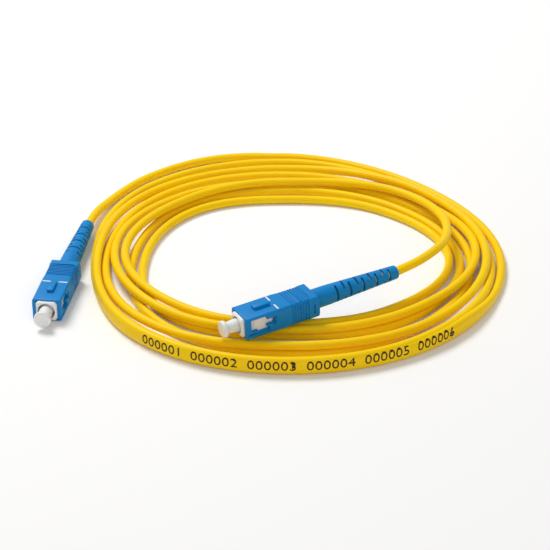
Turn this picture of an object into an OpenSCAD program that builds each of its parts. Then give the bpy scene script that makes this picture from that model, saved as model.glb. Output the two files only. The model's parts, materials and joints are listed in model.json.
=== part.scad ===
// Simplex fibre patch cord: two push-pull square plugs on one coiled, jacketed cable.
// Millimetres, +Z up. The origin is on the surface that the cord lies on, under the middle
// of the box that holds both plugs. In each plug's own frame +X runs from its front to its
// rear along the ferrule's axis, and the grip's front face is at x = 0.

/* [Cable] */
// Diameter of the jacketed cable
cable_d = 2.8; // [2.6:0.05:2.9]
// Diameter of the buffered fibre inside it
fibre_d = 0.9; // [0.6:0.05:1]
// How much thinner the coil is drawn than the cable, so that its loops stay apart
coil_thinning = 0.45; // [0.42:0.01:0.8]
// Height of one layer of loops above the one below
layer_pitch = 2.85; // [2.8:0.05:3.4]
// Number of loops in the coil
coil_loops = 7; // [2:1:7]

/* [Grip housing] */
// Width of the grip
grip_w = 9; // [8.6:0.1:10]
// Height of the grip
grip_h = 7.4; // [7.3:0.1:8.4]
// Length of the grip
grip_len = 25; // [24.5:0.5:28]
// How far the grip slides back on the plug frame
grip_travel = 1.8; // [0.5:0.1:2]
// Radius of the grip's long corners
grip_corner_r = 0.6; // [0.3:0.1:0.8]
// How far the rear of the grip stands out at each side
flare = 0.35; // [0.1:0.05:0.6]
// Width of the key on top of the grip
key_w = 1.9; // [1:0.1:3]
// Length of the key
key_len = 5.5; // [3:0.5:6]
// Height of the key
key_h = 1; // [0.5:0.1:1.5]
// Distance from the grip's front to the key
key_setback = 4.7; // [2:0.1:6]
// Number of grooves round the grip
groove_count = 7; // [3:1:7]
// Distance from one groove to the next
groove_pitch = 0.9; // [0.8:0.05:0.9]
// Depth of each groove
groove_depth = 0.2; // [0.1:0.05:0.25]
// Length of the smooth collar behind the grooves
collar_len = 3.2; // [2.5:0.1:4]
// Length of the wide part of each side window
window_len = 5.5; // [4:0.1:6]
// Height of the wide part of each side window
window_h = 4; // [3:0.1:4.4]

/* [Plug frame] */
// Width of the plug frame
frame_w = 6.6; // [6.4:0.1:7]
// Height of the plug frame
frame_h = 6.3; // [6.2:0.1:6.5]
// Length of the plug frame
frame_len = 18; // [17:0.5:19]
// How far the plug frame stands out of the grip
frame_proud = 1; // [0.5:0.1:2]
// Cut across each long corner of the plug frame
frame_chamfer = 0.9; // [0.4:0.1:1]
// Diameter of the opening round the ferrule
mouth_d = 5.5; // [5.4:0.1:5.7]
// Depth of that opening
mouth_depth = 6; // [5.5:0.5:7]
// Thickness of the shoulder that stops the ferrule's flange
shoulder_t = 1.2; // [0.8:0.1:2]

/* [Ferrule] */
// Diameter of the ferrule
ferrule_d = 2.5; // [1.25:0.05:2.6]
// How far the ferrule stands out of the plug frame
ferrule_proud = 0.2; // [0:0.1:1]
// How far the ferrule moves back against its spring
ferrule_travel = 1; // [0.3:0.1:1.2]
// Diameter of the ferrule's flange
flange_d = 4.7; // [4.2:0.1:4.8]
// Length of the flange
flange_len = 2.4; // [1.5:0.1:3]
// Diameter of the tail behind the flange
tail_d = 2.3; // [1.8:0.1:2.4]
// Length of the tail
tail_len = 1.6; // [1:0.1:2]
// Thickness of the spring's wire
wire_d = 0.45; // [0.3:0.05:0.5]
// Number of curls in the spring
spring_curls = 6; // [4:1:7]

/* [Dust cap] */
// Diameter of the cap's closed end
cap_head_d = 5.3; // [4.6:0.1:6]
// Thickness of the closed end
cap_head_t = 1.3; // [0.8:0.1:2]
// Diameter of the cap's barrel
cap_barrel_d = 4.1; // [3.4:0.1:4.3]
// How far the cap stands out of the plug frame
cap_reach = 5; // [3:0.1:6]
// Length of ferrule that the cap covers
cap_grasp = 4.4; // [3:0.1:4.8]
// How far the cap is drawn off
cap_travel = 12; // [6:1:20]

/* [Stop ring and crimp] */
// Length of the stop ring's nose in the plug frame
nose_len = 2.6; // [1.5:0.1:3]
// Diameter of the stop ring's shoulder
stop_d = 5.9; // [5.5:0.1:6]
// Length of the stop ring's shoulder
stop_len = 1.2; // [0.8:0.1:1.6]
// Diameter of the stop ring's knurled tail
knurl_d = 3.9; // [3.6:0.1:4]
// Length of the knurled tail
knurl_len = 6.6; // [5:0.1:7.5]
// Wall of the throat tube
throat_wall = 0.35; // [0.2:0.05:0.4]
// Thickness of the yarn folded back over the tail
yarn_t = 0.15; // [0.1:0.05:0.2]
// Wall of the crimp sleeve
crimp_wall = 0.35; // [0.25:0.05:0.4]
// Length of the crimp sleeve over the jacket
crimp_neck = 3; // [2:0.1:4]

/* [Boot] */
// Diameter of the boot inside the grip
boot_d = 6.2; // [6.1:0.05:6.2]
// Diameter of the boot at the cable end
boot_tip_d = 4.3; // [4:0.1:4.8]
// Length of boot that shows behind the grip
boot_reach = 30; // [29:1:36]
// Length of the straight part of that
boot_shank = 5; // [3:0.5:6]
// Number of slots in the boot's upper side
upper_slots = 5; // [2:1:5]
// Distance from one slot to the next on the same side
slot_pitch = 4.7; // [4:0.1:4.8]
// Length of each slot along the boot
slot_len = 0.8; // [0.4:0.1:1.2]

/* [Clearances] */
// Gap on each side between the grip and the plug frame
grip_gap = 0.1; // [0.08:0.01:0.14]
// Gap round a part that slides along another
running_gap = 0.04; // [0.03:0.01:0.08]
// Gap round a part that is pressed into another
seat_gap = 0.02; // [0.01:0.01:0.03]
// Gap left where parts come near each other at the end of a slide
end_gap = 0.2; // [0.1:0.05:0.3]

/* [Hidden] */
$fn = 48;
eps = 0.01;

// Stations along a plug, from its front to its rear
frame_front = -frame_proud;
shoulder_front = frame_front + mouth_depth;
flange_front = shoulder_front + shoulder_t;
flange_rear = flange_front + flange_len;
frame_rear = frame_front + frame_len;
nose_front = frame_rear - nose_len;
stop_rear = frame_rear + stop_len;
knurl_rear = stop_rear + knurl_len;
crimp_front = stop_rear + end_gap;
crimp_rear = knurl_rear + crimp_neck;
boot_front = crimp_front + end_gap;
boot_rear = grip_len + boot_reach;
ferrule_front = frame_front - ferrule_proud;
throat_front = flange_rear + tail_len + ferrule_travel + end_gap;
fibre_front = flange_rear + ferrule_travel + end_gap;

// Diameters that follow from what goes inside
cavity_d = flange_d + 2 * running_gap;
nose_d = cavity_d - 2 * seat_gap;
throat_in_d = fibre_d + 2 * running_gap;
throat_out_d = throat_in_d + 2 * throat_wall;
stop_bore_d = throat_out_d + 2 * seat_gap;
tail_bore_d = fibre_d + 4 * running_gap;
yarn_in_d = knurl_d + 2 * seat_gap;
yarn_out_d = yarn_in_d + 2 * yarn_t;
crimp_in_d = yarn_out_d + 2 * seat_gap;
crimp_out_d = crimp_in_d + 2 * crimp_wall;
cable_bore_d = cable_d + 4 * seat_gap;
spring_d = cavity_d - 4 * running_gap - wire_d;
grip_bore_w = frame_w + 2 * grip_gap;
grip_bore_h = frame_h + 2 * grip_gap;

// Where each plug lies: its grip's lower front edge, the way it faces and how far its rear is up
axis_h = grip_h / 2;
pile_top = cable_d / 2 + layer_pitch + cable_d / 2;
pile_gap = 0.25;
a_pos = [-52, -16, 0];
a_heading = 81.76;
a_pitch = 0;
b_pos = [7.6, -33.4, pile_top + pile_gap];
b_heading = 29.14;
b_pitch = 2.53;

// The coil is centred here, and its loops run clockwise from the back. A row is one loop: its
// radius, and its layer, at each eighth of a turn.
coil_centre = [22.6, 20.4];
knots_per_loop = 8;
loop_radii = [73, 67.3, 68.6, 67.5, 65.7, 65.7, 62.8, 69.2,
              68.6, 64.2, 65.1, 66.4, 66.1, 66.6, 61.6, 64.5,
              63.6, 61.3, 63.7, 61.3, 57.5, 61.6, 59.1, 61.1,
              58.6, 57.8, 60.5, 52.6, 48.6, 53.1, 56.4, 56.6,
              52.5, 54.5, 58.7, 58.1, 57.9, 56.4, 50.4, 49.7,
              46.8, 49.8, 55.2, 52.8, 47.2, 51.6, 46.6, 45.2,
              40.6, 45.6, 52, 46, 45, 48.5, 53, 49.4,
              48.2];
loop_layers = [0, 0, 0, 0, 0, 0, 0, 0,
               0, 0, 0.1, 1, 1, 1, 1, 0.3,
               0, 1, 1, 1, 1, 1, 0.2, 0,
               0, 0.2, 1, 1, 1, 1, 0.8, 0,
               0, 0, 0, 0, 0, 0, 0, 0,
               0, 0, 0, 0, 0, 0, 0, 0,
               0, 0, 0, 0.3, 1, 1, 1, 1,
               1];
rings_per_loop = 24;
coil_sides = 6;
coil_d = cable_d - coil_thinning;

// Free stretches of cable, by hand: from plug a to the coil, and from the coil to plug b
lead_a_points = [[-41.9, 49.4, 2.8], [-38.8, 57.9, 1.9], [-34.4, 66.4, 1.5], [-28.7, 74.6, 1.4],
                 [-21.1, 81.8, 1.4], [-12.5, 87.7, 1.4], [-2.7, 91.8, 1.4], [7.9, 93.6, 1.4]];
lead_b_points = [[35.9, 68.4, 4.3], [45.8, 66.8, 4.4], [54.9, 63.6, 4.6], [62.3, 58.5, 4.9],
                 [68.1, 51.6, 5.5], [72.1, 43.5, 6.4], [74, 34.6, 7.6], [74, 25.2, 8.9],
                 [72.1, 15.8, 10.2], [68.1, 7.4, 11.3], [62.5, -0.4, 12]];
lead_sides = 8;
rings_per_span = 2;

/* Curves and tubes */

function unit(v) = v / norm(v);

// Catmull-Rom value between b and c, with a before and d after, at u from 0 to 1
function blend4(a, b, c, d, u) =
    b + 0.5 * u * (c - a + u * (2 * a - 5 * b + 4 * c - d + u * (3 * (b - c) + d - a)));

// Value of the smooth curve through knots at t, counted in knots; past its ends it runs straight
function knot(k, i) =
    i < 0 ? 2 * k[0] - k[-i] :
    i >= len(k) ? 2 * k[len(k) - 1] - k[2 * (len(k) - 1) - i] : k[i];
function curve(k, t) =
    let (i = min(floor(t), len(k) - 2))
    blend4(knot(k, i - 1), knot(k, i), knot(k, i + 1), knot(k, i + 2), t - i);

// Corners of one ring of a tube at p, square to dir, with its first corner uppermost
function ring(p, dir, r, sides) =
    let (side = unit(cross(dir, [0, 0, 1])), up = cross(side, dir))
    [for (k = [0:sides - 1]) p + r * (sin(360 * k / sides) * side + cos(360 * k / sides) * up)];

// Direction of a path at point i; at its ends the path is straight
function heading_at(path, i) =
    unit(path[min(i + 1, len(path) - 1)] - path[max(i - 1, 0)]);

module tube(path, d, sides) {
    n = len(path);
    corners = [for (i = [0:n - 1]) each ring(path[i], heading_at(path, i), d / 2, sides)];
    walls = [for (i = [0:n - 2], k = [0:sides - 1])
             let (a = i * sides + k, b = i * sides + (k + 1) % sides)
             each [[a, b, a + sides], [b, b + sides, a + sides]]];
    first_end = [for (k = [1:sides - 2]) [0, k + 1, k]];
    last = (n - 1) * sides;
    last_end = [for (k = [1:sides - 2]) [last, last + k, last + k + 1]];
    polyhedron(corners, concat(walls, first_end, last_end));
}

/* Where things lie */

module at_plug(pos, heading, pitch) {
    translate(pos) rotate([0, -pitch, heading]) translate([0, 0, axis_h]) children();
}
module at_a() { at_plug(a_pos, a_heading, a_pitch) children(); }
module at_b() { at_plug(b_pos, b_heading, b_pitch) children(); }

// A point on a plug's axis, x behind its grip's front
function on_axis(pos, heading, pitch, x) =
    let (fore = x * cos(pitch) - axis_h * sin(pitch))
    pos + [fore * cos(heading), fore * sin(heading), x * sin(pitch) + axis_h * cos(pitch)];

// Centreline of the coil, t loops from its start at the back
function coil_point(t) =
    let (angle = 90 - 360 * t,
         radius = curve(loop_radii, knots_per_loop * t),
         layer = max(0, min(1, curve(loop_layers, knots_per_loop * t))))
    [coil_centre.x + radius * cos(angle), coil_centre.y + radius * sin(angle),
     cable_d / 2 + layer_pitch * layer];
coil_start = coil_point(0);
coil_end = coil_point(coil_loops);
straight_end = [cable_d, 0, 0];
coil_path = concat([coil_start - straight_end],
                   [for (i = [0:coil_loops * rings_per_loop]) coil_point(i / rings_per_loop)],
                   [coil_end + straight_end]);

// Least gap of the coil to itself, on points twice as close as its rings
gap_step = 2 * rings_per_loop;
gap_points = [for (i = [0:coil_loops * gap_step]) coil_point(i / gap_step)];
coil_gap = min([for (i = [0:len(gap_points) - 1])
                for (j = [i + gap_step / 2:1:len(gap_points) - 1])
                norm(gap_points[i] - gap_points[j])]) - coil_d;
function path_length(p) =
    let (steps = [for (i = [1:len(p) - 1]) norm(p[i] - p[i - 1])]) steps * [for (s = steps) 1];

// A lead: straight out of the boot, through its own points, and straight into the coil
function smooth(points) =
    [for (i = [0:(len(points) - 1) * rings_per_span])
     let (p = curve(points, i / rings_per_span)) [p.x, p.y, max(p.z, cable_d / 2)]];
lead_a_path = concat([on_axis(a_pos, a_heading, a_pitch, knurl_rear)],
                     smooth(concat([on_axis(a_pos, a_heading, a_pitch, boot_rear)],
                                   lead_a_points, [coil_start - 2 * straight_end])),
                     [coil_start - straight_end]);
lead_b_path = concat([coil_end + straight_end],
                     smooth(concat([coil_end + 2 * straight_end], lead_b_points,
                                   [on_axis(b_pos, b_heading, b_pitch, boot_rear)])),
                     [on_axis(b_pos, b_heading, b_pitch, knurl_rear)]);
echo(coil_least_gap = coil_gap, coil_length = path_length(gap_points),
     lead_a_length = path_length(lead_a_path), lead_b_length = path_length(lead_b_path));

/* Shapes that repeat */

// A round bar from x0 to x1 along the plug's axis
module bar(x0, x1, d, d_end = 0) {
    translate([x0, 0, 0]) rotate([0, 90, 0])
        cylinder(h = x1 - x0, d1 = d, d2 = d_end > 0 ? d_end : d);
}
// A tube from x0 to x1 along the plug's axis
module pipe(x0, x1, d_out, d_in) {
    difference() {
        bar(x0, x1, d_out);
        bar(x0 - eps, x1 + eps, d_in);
    }
}
// A flat outline across the plug, drawn out from x0 to x1
module prism(x0, x1) {
    translate([x0, 0, 0]) rotate([90, 0, 90]) linear_extrude(x1 - x0) children();
}
// A box from x0 to x1, centred on the axis
module block(x0, x1, w, h) {
    translate([x0, -w / 2, -h / 2]) cube([x1 - x0, w, h]);
}
module rounded_outline(w, h, r) {
    square([w - 2 * r, h], center = true);
    square([w, h - 2 * r], center = true);
    for (y = [-1, 1], z = [-1, 1]) translate([y * (w / 2 - r), z * (h / 2 - r)]) circle(r);
}
module chamfered_outline(w, h, c) {
    polygon([[w / 2 - c, -h / 2], [w / 2, -h / 2 + c], [w / 2, h / 2 - c], [w / 2 - c, h / 2],
             [c - w / 2, h / 2], [-w / 2, h / 2 - c], [-w / 2, c - h / 2], [c - w / 2, -h / 2]]);
}

/* Parts of one plug, in its own frame */

groove_w = groove_pitch / 2;
groove_start = grip_len - collar_len - groove_count * groove_pitch;
window_front = 1.8;
window_z = 0.7;
window_neck_len = 2.6;
window_neck_h = 2.2;
slit_h = 0.5;
slit_z = -1.9;
collar_slot_len = 0.8;
collar_slot_h = 3;

module grip_housing() {
    color("dodgerblue") difference() {
        union() {
            prism(0, grip_len) rounded_outline(grip_w, grip_h, grip_corner_r);
            translate([0, 0, -grip_h / 2]) linear_extrude(grip_h) flare_outline();
            translate([key_setback, -key_w / 2, grip_h / 2 - eps]) cube([key_len, key_w, key_h + eps]);
        }
        block(-eps, grip_len + eps, grip_bore_w, grip_bore_h);
        for (i = [0:groove_count - 1]) groove(groove_start + i * groove_pitch);
        side_windows();
        side_slots();
    }
}
// Plan of the rear of the grip, which widens to the flare
module flare_outline() {
    w = grip_w / 2;
    x0 = groove_start - flare - collar_len;
    polygon([[x0, -w + eps], [groove_start, -w - flare], [grip_len - flare, -w - flare],
             [grip_len, -w], [grip_len, w], [grip_len - flare, w + flare],
             [groove_start, w + flare], [x0, w - eps]]);
}
// One groove across the top, the bottom and both sides
module groove(x) {
    difference() {
        block(x, x + groove_w, 2 * grip_w, 2 * grip_h);
        block(x - eps, x + groove_w + eps,
              grip_w + 2 * flare - 2 * groove_depth, grip_h - 2 * groove_depth);
    }
}
module side_windows() {
    translate([window_front, -grip_w, window_z - window_h / 2])
        cube([window_len, 2 * grip_w, window_h]);
    translate([window_front + window_len - eps, -grip_w, window_z - window_neck_h / 2])
        cube([window_neck_len, 2 * grip_w, window_neck_h]);
    translate([window_front / 3, -grip_w, slit_z - slit_h / 2])
        cube([window_len + window_front, 2 * grip_w, slit_h]);
}
module side_slots() {
    for (y = [-1, 1])
        translate([grip_len - collar_len / 2, y * (grip_w / 2 + flare), 0])
            cube([collar_slot_len, 2 * flare, collar_slot_h], center = true);
}

module plug_frame() {
    rail_gap = 0.6;
    color("white") difference() {
        prism(frame_front, frame_rear) chamfered_outline(frame_w, frame_h, frame_chamfer);
        bar(frame_front - eps, shoulder_front, mouth_d);
        bar(shoulder_front - eps, flange_front + eps, ferrule_d + 4 * running_gap);
        bar(flange_front, frame_rear + eps, cavity_d);
        for (y = [-1, 1])
            translate([window_front + window_len + window_neck_len - rail_gap, y * frame_w / 2, window_z])
                cube([rail_gap, rail_gap, window_neck_h], center = true);
    }
}

module ferrule() {
    color("ivory") bar(ferrule_front, flange_rear - end_gap, ferrule_d);
}
module ferrule_flange() {
    color("silver") difference() {
        union() {
            bar(flange_front, flange_rear, flange_d);
            bar(flange_rear - eps, flange_rear + tail_len, tail_d);
        }
        bar(flange_front - eps, flange_rear - end_gap, ferrule_d + 2 * seat_gap);
        bar(flange_rear - 2 * end_gap, flange_rear + tail_len + eps, tail_bore_d);
    }
}
module ferrule_spring() {
    curl_rings = 8;
    wire_sides = 6;
    x0 = flange_rear + wire_d / 2 + seat_gap;
    x1 = nose_front - wire_d / 2 - seat_gap;
    steps = spring_curls * curl_rings;
    path = [for (i = [0:steps])
            [spring_d / 2 * cos(360 * i / curl_rings), spring_d / 2 * sin(360 * i / curl_rings),
             x0 + (x1 - x0) * i / steps]];
    color("gainsboro") rotate([90, 0, 90]) wire_tube(path, wire_d, wire_sides);
}
// A wire that curls round the Z axis; its rings stand upright on their way round
module wire_tube(path, d, sides) {
    n = len(path);
    corners = [for (i = [0:n - 1]) let (p = path[i], out = unit([p.x, p.y, 0]))
               for (k = [0:sides - 1])
               p + d / 2 * (cos(360 * k / sides) * out + [0, 0, sin(360 * k / sides)])];
    walls = [for (i = [0:n - 2], k = [0:sides - 1])
             let (a = i * sides + k, b = i * sides + (k + 1) % sides)
             each [[a, a + sides, b], [b, a + sides, b + sides]]];
    first_end = [for (k = [1:sides - 2]) [0, k, k + 1]];
    last = (n - 1) * sides;
    last_end = [for (k = [1:sides - 2]) [last, last + k + 1, last + k]];
    polyhedron(corners, concat(walls, first_end, last_end));
}

module dust_cap() {
    head_front = frame_front - cap_reach;
    color("white") difference() {
        union() {
            bar(head_front, head_front + cap_head_t, cap_head_d);
            bar(head_front + cap_head_t - eps, ferrule_front + cap_grasp, cap_barrel_d);
        }
        bar(ferrule_front - end_gap, ferrule_front + cap_grasp + eps, ferrule_d + 2 * running_gap);
    }
}

module stop_ring() {
    color("silver") difference() {
        union() {
            bar(nose_front, frame_rear + eps, nose_d);
            bar(frame_rear, stop_rear, stop_d);
            bar(stop_rear - eps, knurl_rear, knurl_d);
        }
        bar(nose_front - eps, knurl_rear + eps, stop_bore_d);
    }
}
module throat_tube() {
    color("whitesmoke") pipe(throat_front, knurl_rear, throat_out_d, throat_in_d);
}
module buffered_fibre() {
    color("khaki") bar(fibre_front, knurl_rear, fibre_d);
}
module aramid_yarn() {
    color("gold") pipe(crimp_front, knurl_rear, yarn_out_d, yarn_in_d);
}
module crimp_sleeve() {
    neck_d = cable_bore_d + 2 * crimp_wall;
    color("silver") difference() {
        union() {
            bar(crimp_front, knurl_rear + crimp_wall, crimp_out_d);
            bar(knurl_rear, crimp_rear, neck_d);
        }
        bar(crimp_front - eps, knurl_rear, crimp_in_d);
        bar(knurl_rear - eps, crimp_rear + eps, cable_bore_d);
    }
}

slot_setback = 2.6;
first_slot = grip_len + boot_shank + slot_setback;
module boot() {
    shank_end = grip_len + boot_shank;
    color("dodgerblue") difference() {
        union() {
            bar(boot_front, shank_end, boot_d);
            bar(shank_end - eps, boot_rear, boot_d, boot_tip_d);
        }
        bar(boot_front - eps, crimp_rear + end_gap, crimp_out_d + 2 * seat_gap);
        bar(crimp_rear, boot_rear + eps, cable_bore_d + 2 * seat_gap);
        for (i = [0:upper_slots - 1]) slot(first_slot + i * slot_pitch, 1);
        for (i = [0:upper_slots - 2]) slot(first_slot + (i + 0.5) * slot_pitch, -1);
    }
}
// A slot across one side of the boot, as deep as its bore
module slot(x, side) {
    inner = side * cable_bore_d / 4;
    outer = side * boot_d;
    translate([x - slot_len / 2, -boot_d, min(inner, outer)])
        cube([slot_len, 2 * boot_d, abs(outer - inner)]);
}

/* The cable */

module cable_lead_a() {
    color("gold") tube(lead_a_path, cable_d, lead_sides);
}
module cable_lead_b() {
    color("gold") tube(lead_b_path, cable_d, lead_sides);
}
module cable_coil() {
    color("gold") tube(coil_path, coil_d, coil_sides);
}

at_a() grip_housing();  // grip_housing_a
at_a() plug_frame();  // plug_frame_a
at_a() dust_cap();  // dust_cap_a
at_a() ferrule();  // ferrule_a
at_a() ferrule_flange();  // ferrule_flange_a
at_a() ferrule_spring();  // ferrule_spring_a
at_a() stop_ring();  // stop_ring_a
at_a() throat_tube();  // throat_tube_a
at_a() buffered_fibre();  // buffered_fibre_a
at_a() aramid_yarn();  // aramid_yarn_a
at_a() crimp_sleeve();  // crimp_sleeve_a
at_a() boot();  // boot_a
cable_lead_a();
at_b() grip_housing();  // grip_housing_b
at_b() plug_frame();  // plug_frame_b
at_b() dust_cap();  // dust_cap_b
at_b() ferrule();  // ferrule_b
at_b() ferrule_flange();  // ferrule_flange_b
at_b() ferrule_spring();  // ferrule_spring_b
at_b() stop_ring();  // stop_ring_b
at_b() throat_tube();  // throat_tube_b
at_b() buffered_fibre();  // buffered_fibre_b
at_b() aramid_yarn();  // aramid_yarn_b
at_b() crimp_sleeve();  // crimp_sleeve_b
at_b() boot();  // boot_b
cable_lead_b();
cable_coil();
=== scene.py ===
"""Looks of a simplex fibre patch cord: two square push-pull plugs on one coiled yellow cable."""
import json
import math

import bmesh
import bpy
from bpy.props import (FloatProperty, FloatVectorProperty, IntProperty, PointerProperty,
                       StringProperty)
from mathutils import Matrix, Vector


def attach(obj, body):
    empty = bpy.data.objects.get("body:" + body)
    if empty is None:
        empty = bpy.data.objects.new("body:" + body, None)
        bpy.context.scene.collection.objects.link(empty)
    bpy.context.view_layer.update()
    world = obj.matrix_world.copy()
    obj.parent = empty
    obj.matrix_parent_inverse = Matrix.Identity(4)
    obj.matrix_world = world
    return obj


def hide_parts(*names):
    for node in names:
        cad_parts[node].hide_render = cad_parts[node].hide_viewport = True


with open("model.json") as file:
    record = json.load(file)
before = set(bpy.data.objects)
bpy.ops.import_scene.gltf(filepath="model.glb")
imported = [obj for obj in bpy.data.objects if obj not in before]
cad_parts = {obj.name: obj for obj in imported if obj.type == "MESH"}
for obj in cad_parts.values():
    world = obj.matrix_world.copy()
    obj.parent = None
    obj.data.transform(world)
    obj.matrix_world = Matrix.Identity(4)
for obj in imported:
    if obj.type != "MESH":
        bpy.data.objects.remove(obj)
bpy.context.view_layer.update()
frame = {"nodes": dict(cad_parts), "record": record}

bl_info = {
    "name": "Fibre patch cord",
    "version": (1, 0, 0),
    "blender": (4, 5, 0),
    "location": "3D View > Sidebar > Patch cord",
    "description": "Dresses the packed patch cord: cable, plugs, boots, caps and a pale stage",
    "category": "Object",
}

MM = 0.001
UP = Vector((0, 0, 1))


# ---------------------------------------------------------------- settings

def size_setting(name, description, default):
    return FloatProperty(name=name, description=description, default=default, unit="LENGTH",
                         precision=5)


def colour_setting(name, description, default):
    return FloatVectorProperty(name=name, description=description, default=default,
                               subtype="COLOR", min=0, max=1)


class CableSettings(bpy.types.PropertyGroup):
    """Sizes and colour of the cable"""
    diameter: size_setting("Diameter", "Diameter of the jacketed cable", 2.8 * MM)
    length: FloatProperty(name="Length", description="Whole length from crimp to crimp",
                          default=2.80, unit="LENGTH")
    layer_pitch: size_setting("Layer pitch", "Height from one layer to the next", 2.85 * MM)
    band_rise: size_setting("Band rise", "How much taller the printed band is", 2.35 * MM)
    jacket: colour_setting("Jacket", "Colour of the jacket", (1.0, 0.665, 0.0005))
    ink: colour_setting("Ink", "Colour of the printed numbers", (0.06, 0.03, 0.008))
    marks: StringProperty(name="Numbers", description="Plain numbers printed along the jacket",
                          default="000001 000002 000003 000004 000005 000006")


class GripSettings(bpy.types.PropertyGroup):
    """Sizes and colours of a plug's grip housing"""
    width: size_setting("Width", "Width of the grip", 9 * MM)
    height: size_setting("Height", "Height of the grip", 7.4 * MM)
    length: size_setting("Length", "Length of the grip", 25 * MM)
    bore_width: size_setting("Bore width", "Width of the opening for the plug frame", 6.8 * MM)
    bore_height: size_setting("Bore height", "Height of the opening for the plug frame", 6.5 * MM)
    corner: size_setting("Corner radius", "Radius of the long corners", 0.6 * MM)
    flare: size_setting("Flare", "How far the rear stands out at each side", 0.35 * MM)
    grooves: IntProperty(name="Grooves", description="Number of grooves round the grip",
                         default=7, min=1)
    groove_pitch: size_setting("Groove pitch", "Distance from groove to groove", 0.9 * MM)
    groove_depth: size_setting("Groove depth", "Depth of each groove", 0.2 * MM)
    collar: size_setting("Collar", "Length of the smooth collar behind the grooves", 3.2 * MM)
    colour: colour_setting("Grip colour", "Colour of the grip", (0.001, 0.235, 0.62))
    mark_colour: colour_setting("Mark colour", "Colour of the insertion marks", (0.88, 0.89, 0.9))


class FrameSettings(bpy.types.PropertyGroup):
    """Sizes and colours of the plug frame and the dust cap"""
    width: size_setting("Width", "Width of the plug frame", 6.6 * MM)
    height: size_setting("Height", "Height of the plug frame", 6.3 * MM)
    length: size_setting("Length", "Length of the plug frame", 18 * MM)
    proud: size_setting("Proud", "How far the frame stands out of the grip", 1 * MM)
    chamfer: size_setting("Chamfer", "Cut across each long corner", 0.9 * MM)
    mouth: size_setting("Mouth", "Diameter of the opening round the ferrule", 5.5 * MM)
    cap_head: size_setting("Cap head", "Diameter of the dust cap's closed end", 5.3 * MM)
    cap_reach: size_setting("Cap reach", "How far the cap stands out of the frame", 5 * MM)
    colour: colour_setting("Frame colour", "Colour of the plug frame", (0.86, 0.86, 0.84))
    cap_colour: colour_setting("Cap colour", "Colour of the dust cap", (0.85, 0.85, 0.83))


class BootSettings(bpy.types.PropertyGroup):
    """Sizes and colour of the strain relief boot"""
    diameter: size_setting("Diameter", "Diameter of the boot at the grip", 6.2 * MM)
    tip: size_setting("Tip", "Diameter of the boot at the cable end", 4.3 * MM)
    shank: size_setting("Shank", "Length of the straight part behind the grip", 5 * MM)
    reach: size_setting("Reach", "Length of boot behind the grip", 30 * MM)
    slot_pitch: size_setting("Slot pitch", "Distance between slots on one side", 4.75 * MM)
    slot_length: size_setting("Slot length", "Length of each slot along the boot", 0.7 * MM)
    colour: colour_setting("Boot colour", "Colour of the boot", (0.001, 0.23, 0.60))


class StageSettings(bpy.types.PropertyGroup):
    """Floor, lamps and camera"""
    floor: colour_setting("Floor", "Colour of the floor", (0.92, 0.92, 0.92))
    sky: FloatProperty(name="Sky", description="Strength of the even light from all round",
                       default=0.42)
    key: FloatProperty(name="Key", description="Power of the main soft lamp", default=8.0)
    fill: FloatProperty(name="Fill", description="Power of the front lamp", default=1.2)
    lens: FloatProperty(name="Lens", description="Focal length of the camera on a 36 mm sensor",
                        default=122.34)


# ---------------------------------------------------------------- where the plugs lie

def plug_matrix(letter):
    """From a plug's own frame, +X to its rear and the grip's front at x = 0, to where it lies."""
    mounts = {mount["name"]: mount for mount in frame["record"]["mounts"]}
    mount = mounts["plug_" + letter + "_interface"]
    rear = -Vector(mount["axis"]).normalized()
    side = UP.cross(rear).normalized()
    top = rear.cross(side)
    turn = Matrix((rear, side, top)).transposed().to_4x4()
    return Matrix.Translation(Vector(mount["pos_m"])) @ turn


def on_axis(letter, x):
    return plug_matrix(letter) @ Vector((x, 0, 0))


# ---------------------------------------------------------------- the cable's route

BOOT_REAR = 55 * MM
CRIMP_FRONT = 24.8 * MM

# The coil's centre and, in rows of one loop, its radius in millimetres and its layer at each
# eighth of a turn from the back round by the right
coil_loops = 7
KNOTS_PER_LOOP = 8
coil_centre = Vector((22.6, 20.4, 0)) * MM
loop_radii = [73, 67.3, 68.6, 67.5, 65.7, 65.7, 62.8, 69.2,
              68.6, 64.2, 65.1, 66.4, 66.1, 66.6, 61.6, 64.5,
              63.6, 61.3, 63.7, 61.3, 57.5, 61.6, 59.1, 61.1,
              58.6, 57.8, 60.5, 52.6, 48.6, 53.1, 56.4, 56.6,
              52.5, 54.5, 58.7, 58.1, 57.9, 56.4, 50.4, 49.7,
              46.8, 49.8, 55.2, 52.8, 47.2, 51.6, 46.6, 45.2,
              40.6, 45.6, 52, 46, 45, 48.5, 53, 49.4,
              48.2]
loop_layers = [0, 0, 0, 0, 0, 0, 0, 0,
               0, 0, 0.1, 1, 1, 1, 1, 0.3,
               0, 1, 1, 1, 1, 1, 0.2, 0,
               0, 0.2, 1, 1, 1, 1, 0.8, 0,
               0, 0, 0, 0, 0, 0, 0, 0,
               0, 0, 0, 0, 0, 0, 0, 0,
               0, 0, 0, 0.3, 1, 1, 1, 1,
               1]
# The free stretches, in millimetres
lead_a_points = [(-41.9, 49.4, 2.8), (-38.8, 57.9, 1.9), (-34.4, 66.4, 1.5), (-28.7, 74.6, 1.4),
                 (-21.1, 81.8, 1.4), (-12.5, 87.7, 1.4), (-2.7, 91.8, 1.4), (7.9, 93.6, 1.4)]
lead_b_points = [(35.9, 68.4, 4.3), (45.8, 66.8, 4.4), (54.9, 63.6, 4.6), (62.3, 58.5, 4.9),
                 (68.1, 51.6, 5.5), (72.1, 43.5, 6.4), (74, 34.6, 7.6), (74, 25.2, 8.9),
                 (72.1, 15.8, 10.2), (68.1, 7.4, 11.3), (62.5, -0.4, 12)]
STEPS_PER_LOOP = 96
STEPS_PER_SPAN = 6


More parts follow.
